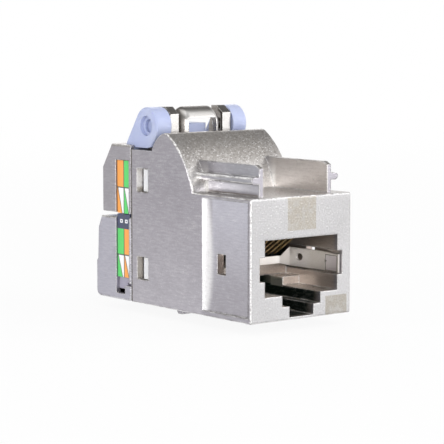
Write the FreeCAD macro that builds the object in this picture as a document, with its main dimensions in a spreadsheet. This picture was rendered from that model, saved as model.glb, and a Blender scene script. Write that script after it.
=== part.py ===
import FreeCAD, Part
import Sketcher
import math
import os
import re

# Shielded snap-in ethernet socket with two hinged rear jaws, in millimetres.
# Rows read +X to the right of the plug, +Y towards the cable, +Z up.
# Heights in the sheet are counted from the underside of the body, and every
# piece is then lowered so that the origin is the middle of the port's mouth.

doc = FreeCAD.newDocument("EthernetSocket")
sheet = doc.addObject("Spreadsheet::Sheet", "Sizes")

sizes = {
    # die-cast body
    "halfWidth": 8.12, "shelfTop": 15.17, "seamY": 24.35, "ledgeTop": "shelfTop + humpFoot",
    "humpFoot": 4.73, "bodyRound": 0.22, "humpFrontY": 11.35, "humpRearY": "hingeY - humpSet",
    "humpSet": 2.0, "crestFrontY": "humpFrontY + crestRun", "crestRun": 5.15,
    "crestFrontZ": "ledgeTop + crestRise", "crestRise": 2.25,
    "crestRearY": "humpRearY - crestDrop", "crestDrop": 2.3,
    "crestRearZ": "crestFrontZ + crestTilt", "crestTilt": 0.07,
    "humpFrontBend": 12.1, "crestBend": 1.48, "humpRearBend": 4.2,
    "bodyWall": 1.02, "floorWall": 1.2, "roofWall": 1.2, "chamberY": 12.6,
    "slopeTopY": 14.3, "slopeMidY": 13.0, "slopeMidZ": 16.5, "slopeLowZ": 13.2,
    # port, with a stop for the plug at each side and a screen across the back
    "portHalf": 5.9, "portTop": 10.05, "portLedge": 3.08, "latchHalf": 3.12, "latchZ": 1.7,
    "keyHalf": 1.97, "keyZ": 0.35, "grooveHalf": "portHalf + grooveDepth", "grooveDepth": 0.82,
    "grooveLow": 5.0, "grooveTop": 8.0, "stopY": 7.25, "stopTop": 4.15, "screenY": 9.8,
    "screenThick": 0.45, "screenTop": 6.45, "screenPitch": 2.2, "screenGroove": 0.2,
    # side relief, windows and slots
    "reliefStepY": 9.54, "reliefFlatY": 7.4, "reliefDepth": 0.35, "reliefBend": 6.75,
    "reliefFrontY": 0.95, "reliefEndY": 0.4, "reliefLow": 0.7,
    "reliefTop": "shelfTop - reliefLid", "reliefLid": 0.42,
    "slotFrontY": 5.2, "slotRearY": 6.87, "slotLow": 5.43, "slotTop": 7.97,
    "snapRearY": "seamY - snapSet", "snapSet": 1.25, "snapFrontY": "snapRearY - snapLength",
    "snapLength": 2.45, "snapUpperLow": 14.5, "snapUpperTop": 17.56,
    "snapLowerLow": 3.13, "snapLowerTop": 6.13,
    # guide rails and hook ridge
    "railInner": "halfWidth - railSet", "railSet": 2.97, "railThick": 0.65,
    "railTop": "shelfTop + railHigh", "railHigh": 3.88, "railFrontY": 1.2, "railBevel": 0.8,
    "railDrop": 0.4, "railRearY": 13.5, "railSink": 0.4,
    "ribOut": "railInner + ribReach", "ribReach": 1.82, "ribLow": "shelfTop + ribSet", "ribSet": 1.57,
    "ribHigh": "ribLow + ribThick", "ribThick": 0.88,
    "ridgeHalf": 4.0, "ridgeFrontY": "seamY - ridgeSet", "ridgeSet": 5.75,
    "ridgeRearY": "ridgeFrontY + ridgeLength", "ridgeLength": 2.3, "ridgeDrop": 1.4,
    "ridgeLean": 0.3, "ridgeRamp": 1.2,
    # contact insert and spring contacts
    "insertHalf": "portHalf - insertSet", "insertSet": 1.0, "insertTop": 12.2, "insertFrontY": 1.5,
    "insertGap": 0.1, "combFrontY": 3.6, "combTop": 11.45, "combWidth": 0.56, "backWallY": 12.75,
    "backWallLow": 4.9, "contactCount": 8, "contactPitch": 1.016, "contactWidth": 0.36,
    "contactThick": 0.28, "contactZ": 11.1, "contactBendY": 4.9, "contactBend": 0.55,
    "contactFall": 33, "contactReach": 5.7, "contactTail": 0.3,
    # ground clip
    "clipThick": 0.26, "clipLow": 5.4, "clipTop": 7.8, "clipTabLow": 5.05, "clipTabTop": 7.36,
    "clipTabX": "grooveHalf - clipPlay", "clipPlay": 0.22, "clipFrontY": 0.4, "clipBendY": 2.9,
    "clipCrestX": "portHalf - clipReach", "clipReach": 0.95, "clipCrestY": 7.95,
    "clipNeckX": "clipCrestX - clipFold", "clipFold": 0.75, "clipNeckY": 9.2, "clipNeckTop": 6.6,
    "clipNeckLow": 5.6, "clipHoleY": 6.5, "clipHoleBend": 0.45, "clipNick": 0.4,
    # circuit board
    "boardY": 14.6, "boardThick": 1.2, "boardHalf": "halfWidth - bodyWall - boardSide",
    "boardSide": 0.4, "boardLow": 1.6, "boardTop": 18.2, "boardPlay": 0.08,
    # terminal block and its blades
    "blockHalf": "halfWidth - bodyWall - blockPlay", "blockPlay": 0.15, "blockFrontY": 17.0,
    "blockRearY": "seamY - blockShort", "blockShort": 0.2, "lugOut": "halfWidth - lugSet",
    "lugSet": 0.32, "lugFlatY": "snapRearY - lugSlope", "lugSlope": 1.1, "lugPlay": 0.1,
    "blockRoomHalf": "roomHalf - holderPlay", "blockRoomDepth": 3.2, "blockRoomLow": 5.2,
    "blockRoomTop": 16.6, "bladeX": "halfWidth - bladeSet", "bladeSet": 2.82, "bladeThick": 0.45,
    "bladeHigh": 2.0, "bladeTipY": "seamY + bladeReach", "bladeReach": 2.85, "bladeSlot": 0.36,
    "bladeCut": 1.9, "bladeTail": 0.8, "bladeShoulderY": "blockFrontY - lugPlay", "bladePlay": 0.06,
    "bladeBevel": 0.6, "bladeTaper": 0.45, "bladeFlare": 0.35,
    "rowOne": 16.6, "rowTwo": 13.1, "rowThree": 7.65, "rowFour": 4.45,
    # upper hinge: pins and ears
    "hingeY": "seamY - hingeSet", "hingeSet": 2.35, "hingeZ": "ledgeTop + hingeHigh", "hingeHigh": 3.1,
    "pinBend": 0.7, "pinHalf": "earInner + pinGrip", "pinGrip": 1.1,
    "pinInner": "cheekInner + pinShort", "pinShort": 0.4, "pinPlay": 0.05,
    "earInner": "earOuter - earWidth", "earWidth": 2.3, "earOuter": "halfWidth - earSet",
    "earSet": 0.72, "earBend": 2.4, "earLean": 33.5, "earSlope": 4.2, "earSinkBend": 1.28,
    "earSinkDepth": 0.5, "earEyeBend": 0.86, "earEyeDepth": 0.95,
    "earFootY": "hingeY - earFootSet", "earFootSet": 1.1, "earFootBend": 2.85,
    "earFootLean": 35, "earBevel": 0.16,
    # yoke: arch and cheeks
    "yokeHalf": "earInner - yokePlay", "yokePlay": 0.15, "yokeThick": 0.45, "yokeBase": 0.35,
    "yokeGap": 0.35, "archHalf": "cheekInner - yokeSlit", "yokeSlit": 0.3, "archBend": 2.45,
    "archCorner": 1.4, "archSide": 0.9, "archTurn": 79, "archWindowHalf": "archHalf - archRim",
    "archRim": 1.03, "archWindowLow": "ledgeTop + archSill", "archSill": 0.7,
    "archWindowTop": "hingeZ + archHead", "archHead": 0.9, "archStep": 0.8, "archRise": 1.6,
    "archShift": 0.2, "cheekInner": "yokeHalf - cheekWidth", "cheekWidth": 1.35,
    "cheekFrontY": "humpRearY + cheekGap", "cheekGap": 0.02, "cheekTop": "hingeZ + cheekHigh",
    "cheekHigh": 1.5, "cheekRoofZ": "hingeZ + cheekRoof", "cheekRoof": 2.4, "cheekWeb": 0.6,
    "cheekRearY": "hingeY + cheekBack", "cheekBack": 1.9, "cheekStep": 0.5, "cheekRise": 1.0,
    "cheekShift": 0.1, "cheekSlope": 1.3, "cheekRoofEnd": 0.4,
    "webDrop": 0.4, "webNose": 1.2, "webBevel": 0.5,
    # jaws, counted back from the seam
    "seamGap": 0.12, "jawWall": 0.7, "upperLow": 11.5, "upperTop": "ledgeTop + jawStep",
    "jawStep": 0.55, "upperLength": 6.6, "upperRearY": "seamY + upperLength",
    "upperBreakZ": "upperTop - upperSlope", "upperSlope": 3.1,
    "upperBreakY": "upperRearY - upperBack", "upperBack": 2.05, "jawBevel": 0.45, "lowerBevel": 0.2,
    "lowerTop": 10.98, "lowerLength": 8.0, "lowerRearY": "seamY + lowerLength", "lowerStepZ": 4.8,
    "lowerStepBack": 0.27, "lowerLean": 0.17, "lowerBreakZ": "lowerTop - lowerBreak",
    "lowerBreak": 1.76, "lowerRimY": "lowerRearY - lowerRim", "lowerRim": 1.16,
    "lowerRimZ": "lowerTop - lowerRimDrop", "lowerRimDrop": 0.16, "lowerRound": 0.8,
    "lowerStepRise": 0.3, "lowerBreakInset": 0.2, "notchDepth": 2.5,
    "windowFrontY": "seamY + windowStart", "windowStart": 0.53,
    "windowRearY": "windowFrontY + windowLength", "windowLength": 2.92,
    "windowTop": "upperTop - windowLid", "windowLid": 2.05, "windowStepY": "windowFrontY + windowStep",
    "windowStep": 0.92, "windowStepZ": 1.93, "windowLow": 0.84, "cableZ": 11.2, "cableBend": 4.0,
    # wire holders and their colour plates
    "holderPlay": 0.1, "holderFrontY": "seamY + holderStart", "holderStart": 0.25,
    "bossOut": "halfWidth - bossSet", "bossSet": 0.47, "plateOut": "bossOut + plateThick",
    "plateThick": 0.25, "platePlay": 0.06, "plateRearY": "windowRearY - holderPlay",
    "partLow": 11.3, "partHigh": 11.42, "lowerPlateLow": 3.0,
    "bossStepZ": 2.3, "bossLow": 1.41, "wireHole": 0.55, "wireY": "bladeTipY - wireSet",
    "wireSet": 0.5, "roomHalf": "bladeX - bladeRoomHalf - roomWall", "roomWall": 0.85,
    "roomRearY": "bladeRoomRearY + roomBack", "roomBack": 0.4, "roomTop": "windowTop - roomLid",
    "roomLid": 2.5, "roomFloor": 5.4, "bladeRoomHalf": 0.85,
    "bladeRoomRearY": "bladeTipY + bladeRoomBack", "bladeRoomBack": 0.8,
    "bladeRoomTop": "windowTop - holderPlay", "bladeRoomLow": 2.6,
    "noseHalf": 1.5, "noseFrontY": "hingeY - noseReach", "noseReach": 1.05,
    "noseRearY": "seamY + noseBack", "noseBack": 1.65, "noseTipLow": "hingeZ - noseTip",
    "noseTip": 1.1, "noseLow": "hingeZ - noseFall", "noseFall": 2.4, "noseTop": "hingeZ + noseRise",
    "noseRise": 0.2, "holderLift": 0.25, "wireWay": 0.8,
    # lower hinge
    "knuckle": 0.75, "lowPinBend": 0.35, "lowPinHalf": "halfWidth - lowPinSet", "lowPinSet": 0.92,
    "lugInner": 3.0, "lugWidth": 1.6, "lugSide": 0.12,
    # how far pads reach into their neighbours, and cuts reach past them
    "sink": 0.5, "lugSink": 0.1, "past": 1.0,
}
for row, word in enumerate(sizes, start=1):
    sheet.set("A%d" % row, word)
    sheet.set("B%d" % row, "0")
    sheet.setAlias("B%d" % row, word)
for row, size in enumerate(sizes.values(), start=1):
    sheet.set("B%d" % row, "=" + size if isinstance(size, str) else str(size))
doc.recompute()

normalSign = {"XY": 1, "XZ": -1, "YZ": 1}      # which way each origin plane faces along its axis
bodies = []
cuts = []


def bound(text):
    """Turn sheet words in a formula into cell references."""
    return re.sub(r"[A-Za-z]\w*", lambda m: "Sizes." + m.group() if m.group() in sizes else m.group(), text)


def value(text):
    return float(sheet.evalExpression(bound(text)))


def newBody(label, x="0", y="0", z="0"):
    """One piece, at its own place. Heights are lowered to the middle of the port."""
    body = doc.addObject("PartDesign::Body", label)
    body.Label = label
    body.setExpression("Placement.Base.x", bound(x))
    body.setExpression("Placement.Base.y", bound(y))
    body.setExpression("Placement.Base.z", bound("%s - (portTop + portLedge) / 2" % z))
    bodies.append(body)
    return body


def originPart(body, role):
    return next(part for part in body.Origin.OriginFeatures if part.Role == role)


def pin(sketch, geo, end, across, up):
    """Hold one point of a sketch at two formulas."""
    for kind, text in (("DistanceX", across), ("DistanceY", up)):
        held = sketch.addConstraint(Sketcher.Constraint(kind, -1, 1, geo, end, value(text)))
        sketch.setExpression("Constraints[%d]" % held, bound(text))


def addEdges(sketch, points, closed=True):
    """Lines and arcs through points (across, up) or (across, up, bend).

    A bend makes the edge that starts there an arc of that radius, whose centre is
    left of the way along it, or right of it after a minus sign."""
    ends = []
    count = len(points) if closed else len(points) - 1
    for i in range(count):
        start, stop = points[i], points[(i + 1) % len(points)]
        a = FreeCAD.Vector(value(start[0]), value(start[1]), 0)
        b = FreeCAD.Vector(value(stop[0]), value(stop[1]), 0)
        if len(start) == 2:
            geo = sketch.addGeometry(Part.LineSegment(a, b))
            ends.append((geo, 1, 2))
            continue
        right = start[2].startswith("-")
        bend = start[2].lstrip("-")
        radius = value(bend)
        chord = b - a
        rise = math.sqrt(max(radius ** 2 - (chord.Length / 2) ** 2, 0))
        left = FreeCAD.Vector(-chord.y, chord.x, 0).normalize()
        centre = (a + b) * 0.5 + left * (-rise if right else rise)
        first, last = (b, a) if right else (a, b)
        angles = [math.atan2(p.y - centre.y, p.x - centre.x) for p in (first, last)]
        circle = Part.Circle(centre, FreeCAD.Vector(0, 0, 1), radius)
        geo = sketch.addGeometry(Part.ArcOfCircle(circle, angles[0], angles[1]))
        held = sketch.addConstraint(Sketcher.Constraint("Radius", geo, radius))
        sketch.setExpression("Constraints[%d]" % held, bound(bend))
        ends.append((geo, 2, 1) if right else (geo, 1, 2))
    for i, (geo, first, last) in enumerate(ends):
        pin(sketch, geo, first, points[i][0], points[i][1])
        if i + 1 < count or closed:
            after = ends[(i + 1) % count]
            sketch.addConstraint(Sketcher.Constraint("Coincident", geo, last, after[0], after[1]))
        else:
            pin(sketch, geo, last, points[-1][0], points[-1][1])


def addCircle(sketch, across, up, bend):
    circle = Part.Circle(FreeCAD.Vector(value(across), value(up), 0), FreeCAD.Vector(0, 0, 1), value(bend))
    geo = sketch.addGeometry(circle)
    pin(sketch, geo, 3, across, up)
    held = sketch.addConstraint(Sketcher.Constraint("Radius", geo, value(bend)))
    sketch.setExpression("Constraints[%d]" % held, bound(bend))


def rectangle(low, high):
    """Four corners from (across, up) to (across, up)."""
    return [(low[0], low[1]), (high[0], low[1]), (high[0], high[1]), (low[0], high[1])]


def circle(across, up, bend):
    return ("circle", across, up, bend)


def drawOn(body, name, plane, at, loops, closed=True):
    """A sketch parallel to an origin plane, at a place along its axis."""
    sketch = body.newObject("Sketcher::SketchObject", name)
    sketch.AttachmentSupport = [(originPart(body, plane + "_Plane"), "")]
    sketch.MapMode = "FlatFace"
    sketch.setExpression("AttachmentOffset.Base.z", bound("%d * (%s)" % (normalSign[plane], at)))
    for loop in loops:
        if loop[0] == "circle":
            addCircle(sketch, *loop[1:])
        else:
            addEdges(sketch, loop, closed)
    return sketch


def pad(body, name, plane, start, stop, *loops):
    """Solid between two places along a plane's axis."""
    feature = body.newObject("PartDesign::Pad", name)
    feature.Profile = drawOn(body, name + "Outline", plane, start, loops)
    feature.setExpression("Length", bound("(%s) - (%s)" % (stop, start)))
    feature.Reversed = normalSign[plane] < 0
    body.Tip = feature
    return feature


def cut(body, name, plane, start, stop, *loops):
    """Pocket between two places along a plane's axis."""
    feature = body.newObject("PartDesign::Pocket", name)
    feature.Profile = drawOn(body, name + "Outline", plane, start, loops)
    feature.setExpression("Length", bound("(%s) - (%s)" % (stop, start)))
    feature.Reversed = normalSign[plane] > 0
    body.Tip = feature
    cuts.append(feature)
    return feature


def sweep(body, name, plane, path, profilePlane, at, profile):
    """Carry a profile along an open path, with sharp corners."""
    route = drawOn(body, name + "Path", plane, "0", [path], closed=False)
    section = drawOn(body, name + "Section", profilePlane, at, [profile])
    feature = body.newObject("PartDesign::AdditivePipe", name)
    feature.Profile = section
    feature.Spine = (route, ["Edge%d" % (i + 1) for i in range(len(path) - 1)])
    feature.Transition = "Right corner"
    body.Tip = feature
    return feature


def turn(body, name, plane, at, axis, angle, loop):
    """Solid turned about a line along X, from its sketch towards the top."""
    sketch = drawOn(body, name + "Outline", plane, at, [loop])
    left, right = [FreeCAD.Vector(value(x), value(axis), 0) for x in ("-halfWidth", "halfWidth")]
    line = sketch.addGeometry(Part.LineSegment(left, right), True)
    pin(sketch, line, 1, "-halfWidth", axis)
    pin(sketch, line, 2, "halfWidth", axis)
    feature = body.newObject("PartDesign::Revolution", name)
    feature.Profile = sketch
    feature.ReferenceAxis = (sketch, ["Axis0"])
    feature.setExpression("Angle", bound(angle))
    feature.Reversed = True
    body.Tip = feature
    return feature


def mirror(body, name, *features):
    """Repeat features on the other side of the middle plane."""
    doc.recompute()
    feature = body.newObject("PartDesign::Mirrored", name)
    feature.Originals = list(features)
    feature.MirrorPlane = (originPart(body, "YZ_Plane"), [""])
    body.Tip = feature
    return feature


def repeat(body, name, original, spacing, count):
    """Repeat a feature in a row along X."""
    doc.recompute()
    feature = body.newObject("PartDesign::LinearPattern", name)
    feature.Originals = [original]
    feature.Direction = (originPart(body, "X_Axis"), [""])
    feature.setExpression("Length", bound("(%s) * (%s - 1)" % (spacing, count)))
    feature.setExpression("Occurrences", bound(count))
    body.Tip = feature
    return feature


def soften(body, name, radius, wanted, kind="Fillet"):
    """Round or bevel the edges that a test picks."""
    doc.recompute()
    base = body.Tip
    names = ["Edge%d" % (i + 1) for i, edge in enumerate(base.Shape.Edges) if wanted(edge)]
    feature = body.newObject("PartDesign::" + kind, name)
    feature.Base = (base, names)
    feature.setExpression("Radius" if kind == "Fillet" else "Size", bound(radius))
    body.Tip = feature
    return feature


slack = 0.01      # how near to a plane counts as on it


def flatAt(edge, axis, place):
    """True where an edge lies wholly in the plane axis = place."""
    box = edge.BoundBox
    low, high = {"x": (box.XMin, box.XMax), "y": (box.YMin, box.YMax), "z": (box.ZMin, box.ZMax)}[axis]
    return abs(low - place) < slack and abs(high - place) < slack


# The die-cast body: one side profile with a hump, hollowed from both ends
def makeJackBody():
    body = newBody("jack_body")
    pad(body, "Block", "YZ", "-halfWidth", "halfWidth", [
        ("0", "0"), ("seamY", "0"), ("seamY", "ledgeTop"), ("humpRearY", "ledgeTop", "humpRearBend"),
        ("crestRearY", "crestRearZ", "crestBend"), ("crestFrontY", "crestFrontZ", "humpFrontBend"),
        ("humpFrontY", "shelfTop"), ("0", "shelfTop")])
    side, seam, ledge = value("halfWidth"), value("seamY"), value("ledgeTop")

    def outerEdge(edge):
        onSide = flatAt(edge, "x", side) or flatAt(edge, "x", -side)
        joined = flatAt(edge, "y", seam) or flatAt(edge, "z", ledge)
        return (onSide and not joined) or flatAt(edge, "y", 0)
    soften(body, "BodyRound", "bodyRound", outerEdge)
    # port mouth with its stepped latch notch and side grooves
    half = [("portHalf", "portTop"), ("portHalf", "grooveTop"), ("grooveHalf", "grooveTop"),
            ("grooveHalf", "grooveLow"), ("portHalf", "grooveLow"), ("portHalf", "portLedge"),
            ("latchHalf", "portLedge"), ("latchHalf", "latchZ"), ("keyHalf", "latchZ"), ("keyHalf", "keyZ")]
    mouth = [("-" + across, up) for across, up in reversed(half)]
    cut(body, "Port", "XZ", "-past", "chamberY", half + mouth)
    cut(body, "InsertBed", "XZ", "insertFrontY - insertGap", "chamberY",
        rectangle(("-insertHalf - insertGap", "portTop - past"),
            ("insertHalf + insertGap", "insertTop + insertGap")))
    stop = pad(body, "PlugStop", "XZ", "stopY", "chamberY",
               rectangle(("latchHalf", "portLedge - lugSink"), ("portHalf + lugSink", "stopTop")))
    screen = pad(body, "Screen", "XZ", "screenY", "screenY + screenThick",
                 rectangle(("screenPitch / 2 + screenGroove", "stopTop"), ("portHalf + lugSink", "screenTop")))
    mirror(body, "PlugStops", stop, screen)
    pad(body, "ScreenBack", "XZ", "screenY + screenGroove", "screenY + screenThick",
        rectangle(("-portHalf - lugSink", "stopTop"), ("portHalf + lugSink", "screenTop")))
    pad(body, "ScreenMiddle", "XZ", "screenY", "screenY + screenThick",
        rectangle(("-screenPitch / 2", "stopTop"), ("screenPitch / 2", "screenTop")))
    cut(body, "Chamber", "YZ", "-halfWidth + bodyWall", "halfWidth - bodyWall", [
        ("chamberY", "floorWall"), ("seamY + past", "floorWall"), ("seamY + past", "ledgeTop - roofWall"),
        ("slopeTopY", "ledgeTop - roofWall"), ("slopeMidY", "slopeMidZ"), ("chamberY", "slopeLowZ")])
    cut(body, "SnapWindows", "YZ", "-halfWidth - past", "halfWidth + past",
        rectangle(("snapFrontY", "snapUpperLow"), ("snapRearY", "snapUpperTop")),
        rectangle(("snapFrontY", "snapLowerLow"), ("snapRearY", "snapLowerTop")))
    cut(body, "SideSlot", "YZ", "-halfWidth - past", "halfWidth + past",
        rectangle(("slotFrontY", "slotLow"), ("slotRearY", "slotTop")))
    # shallow relief with a curved ramp up to the rear step
    relief = cut(body, "Relief", "XY", "reliefLow", "reliefTop", [
        ("halfWidth + past", "reliefEndY"), ("halfWidth + past", "reliefStepY"),
        ("halfWidth", "reliefStepY", "reliefBend"),
        ("halfWidth - reliefDepth", "reliefFlatY"), ("halfWidth - reliefDepth", "reliefFrontY"),
        ("halfWidth", "reliefEndY")])
    mirror(body, "ReliefPair", relief)
    # guide rails with an outward rib, running back into the hump
    rail = pad(body, "Rail", "YZ", "railInner", "railInner + railThick", [
        ("railFrontY", "shelfTop - railSink"), ("railRearY", "shelfTop - railSink"),
        ("railRearY", "railTop"),
        ("railFrontY + railBevel", "railTop"), ("railFrontY", "railTop - railDrop")])
    bend = "(ribHigh - ribLow) / 2"
    rib = pad(body, "Rib", "XZ", "railFrontY", "railRearY", [
        ("railInner + railThick / 2", "ribLow"), ("ribOut - " + bend, "ribLow", bend),
        ("ribOut", "(ribLow + ribHigh) / 2", bend), ("ribOut - " + bend, "ribHigh"),
        ("railInner + railThick / 2", "ribHigh")])
    mirror(body, "RailPair", rail, rib)
    pad(body, "Ridge", "YZ", "-ridgeHalf", "ridgeHalf", [
        ("ridgeFrontY", "railSink"), ("ridgeFrontY", "0"), ("ridgeFrontY + ridgeLean", "-ridgeDrop"),
        ("ridgeRearY - ridgeRamp", "-ridgeDrop"), ("ridgeRearY", "0"), ("ridgeRearY", "railSink")])
    # two lugs at the foot of the seam carry the lower hinge pin
    lug = pad(body, "Lug", "YZ", "lugInner", "lugInner + lugWidth", [
        ("seamY - lugSink", "0"), ("seamY + seamGap + knuckle", "0", "knuckle"),
        ("seamY + seamGap + 2 * knuckle", "knuckle", "knuckle"),
        ("seamY + seamGap + knuckle", "2 * knuckle"),
        ("seamY - lugSink", "2 * knuckle")])
    mirror(body, "LugPair", lug)
    cut(body, "LugBore", "YZ", "-lugInner - lugWidth - past", "lugInner + lugWidth + past",
        circle("seamY + seamGap + knuckle", "knuckle", "lowPinBend + pinPlay"))


# Black insert: a roof with eight grooves for the contacts, and a rear wall
def makeContactCarrier():
    body = newBody("contact_carrier")
    pad(body, "Roof", "XZ", "insertFrontY", "boardY - insertGap",
        rectangle(("-insertHalf", "portTop"), ("insertHalf", "insertTop")))
    pad(body, "BackWall", "XZ", "backWallY", "boardY - insertGap",
        rectangle(("-portHalf + insertGap", "backWallLow"), ("portHalf - insertGap", "portTop + past")))
    first = "-contactPitch * (contactCount - 1) / 2"
    groove = cut(body, "Groove", "XZ", "combFrontY", "boardY",
                 rectangle((first + " - combWidth / 2", "portTop - past"),
                     (first + " + combWidth / 2", "combTop")))
    repeat(body, "Grooves", groove, "contactPitch", "contactCount")


# A contact: flat spring wire, hooked at the front and falling back into the port
def makeContact(number):
    body = newBody("jack_contact_%d" % number, "contactPitch * (%d - (contactCount + 1) / 2)" % number)
    tail = "boardY + boardThick + contactTail"
    hookY = "contactBendY - contactBend * sin(contactFall)"
    hookZ = "contactZ - contactBend * (1 + cos(contactFall))"
    sweep(body, "Wire", "YZ", [
        (tail, "contactZ"), ("contactBendY", "contactZ", "contactBend"), (hookY, hookZ),
        (hookY + " + contactReach * cos(contactFall)", hookZ + " - contactReach * sin(contactFall)")],
        "XZ", tail, rectangle(("-contactWidth / 2", "contactZ - contactThick / 2"),
                              ("contactWidth / 2", "contactZ + contactThick / 2")))


# Ground clip: one bent strip along both side grooves and across the port behind the plug
def makeGroundClip():
    body = newBody("ground_clip")
    half = [("clipTabX", "clipFrontY"), ("clipTabX", "clipBendY"), ("clipCrestX", "clipCrestY"),
            ("clipNeckX", "clipNeckY")]
    other = [("-(" + across + ")", up) for across, up in reversed(half)]
    sweep(body, "Strip", "XY", half + other, "XZ", "clipFrontY",
          rectangle(("clipTabX - clipThick / 2", "clipTabLow"), ("clipTabX + clipThick / 2", "clipTop")))
    front, rear = "clipFrontY - past", "clipNeckY + past"
    neck = "clipNeckY - clipThick"
    cut(body, "UpperEdge", "YZ", "-halfWidth", "halfWidth", [
        (front, "clipTabTop"), ("clipCrestY", "clipTop"), (neck, "clipNeckTop"),
        (rear, "clipNeckTop"), (rear, "clipTop + past"), (front, "clipTop + past")])
    cut(body, "LowerEdge", "YZ", "-halfWidth", "halfWidth", [
        (front, "clipTabLow"), ("clipCrestY", "clipLow"), (neck, "clipNeckLow"),
        (rear, "clipNeckLow"), (rear, "clipTabLow - past"), (front, "clipTabLow - past")])
    middle = "(clipLow + clipTop) / 2"
    cut(body, "Holes", "YZ", "-halfWidth", "halfWidth", circle("clipHoleY", middle, "clipHoleBend"))
    cut(body, "Nicks", "YZ", "-halfWidth", "halfWidth", [
        ("clipBendY", middle + " - clipNick"), ("clipBendY", middle),
        ("clipBendY - clipNick", middle + " - clipNick / 2")])


def bladeRows():
    return ["rowOne", "rowTwo", "rowThree", "rowFour"]


def aroundBlades(play, high):
    """A rectangle about each of the eight blades, seen along Y."""
    loops = []
    for row in bladeRows():
        for side in ("-bladeX", "bladeX"):
            loops.append(rectangle(
                ("%s - bladeThick / 2 - %s" % (side, play), "%s - %s / 2 - %s" % (row, high, play)),
                ("%s + bladeThick / 2 + %s" % (side, play), "%s + %s / 2 + %s" % (row, high, play))))
    return loops


def makeCircuitBoard():
    body = newBody("circuit_board")
    pad(body, "Board", "XZ", "boardY", "boardY + boardThick",
        rectangle(("-boardHalf", "boardLow"), ("boardHalf", "boardTop")))
    first = "-contactPitch * (contactCount - 1) / 2"
    hole = cut(body, "ContactHole", "XZ", "boardY - past", "boardY + boardThick + past", rectangle(
        (first + " - contactWidth / 2 - boardPlay", "contactZ - contactThick / 2 - boardPlay"),
        (first + " + contactWidth / 2 + boardPlay", "contactZ + contactThick / 2 + boardPlay")))
    repeat(body, "ContactHoles", hole, "contactPitch", "contactCount")
    cut(body, "BladeHoles", "XZ", "boardY - past", "boardY + boardThick + past",
        *aroundBlades("boardPlay", "bladeTail"))


# White block that snaps into the body's windows and holds the eight blades
def makeTerminalBlock():
    body = newBody("terminal_block")
    pad(body, "Core", "XZ", "blockFrontY", "blockRearY", rectangle(
        ("-blockHalf", "floorWall + blockPlay"), ("blockHalf", "ledgeTop - roofWall - blockPlay")))
    lugs = []
    for name, low, top in (("LugHigh", "snapUpperLow", "snapUpperTop"),
        ("LugLow", "snapLowerLow", "snapLowerTop")):
        lugs.append(pad(body, name, "XY", low + " + lugPlay", top + " - lugPlay", [
            ("blockHalf - sink", "snapFrontY + lugPlay"), ("lugOut", "snapFrontY + lugPlay"),
            ("lugOut", "lugFlatY"),
            ("blockHalf + lugPlay", "snapRearY - lugPlay"), ("blockHalf - sink", "snapRearY - lugPlay")]))
    mirror(body, "LugPair", *lugs)
    cut(body, "BladeSlots", "XZ", "blockFrontY - past", "blockRearY + past",
        *aroundBlades("bladePlay", "bladeHigh"))
    cut(body, "WireRoom", "XZ", "blockRearY - blockRoomDepth", "blockRearY + past",
        rectangle(("-blockRoomHalf", "blockRoomLow"), ("blockRoomHalf", "blockRoomTop")))


# A blade: flat fork whose slot cuts through a wire's insulation
def makeBlade(number, side, row):
    body = newBody("idc_terminal_%d" % number, side, "0", row)
    lower = [("boardY + boardPlay", "-bladeTail / 2"), ("bladeShoulderY", "-bladeTail / 2"),
             ("bladeShoulderY", "-bladeHigh / 2"), ("bladeTipY - bladeBevel", "-bladeHigh / 2"),
             ("bladeTipY", "-bladeHigh / 2 + bladeTaper"), ("bladeTipY - bladeFlare", "-bladeSlot / 2"),
             ("bladeTipY - bladeCut", "-bladeSlot / 2")]
    upper = [(along, "-(%s)" % up) for along, up in reversed(lower)]
    pad(body, "Fork", "YZ", "-bladeThick / 2", "bladeThick / 2", lower + upper)


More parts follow.
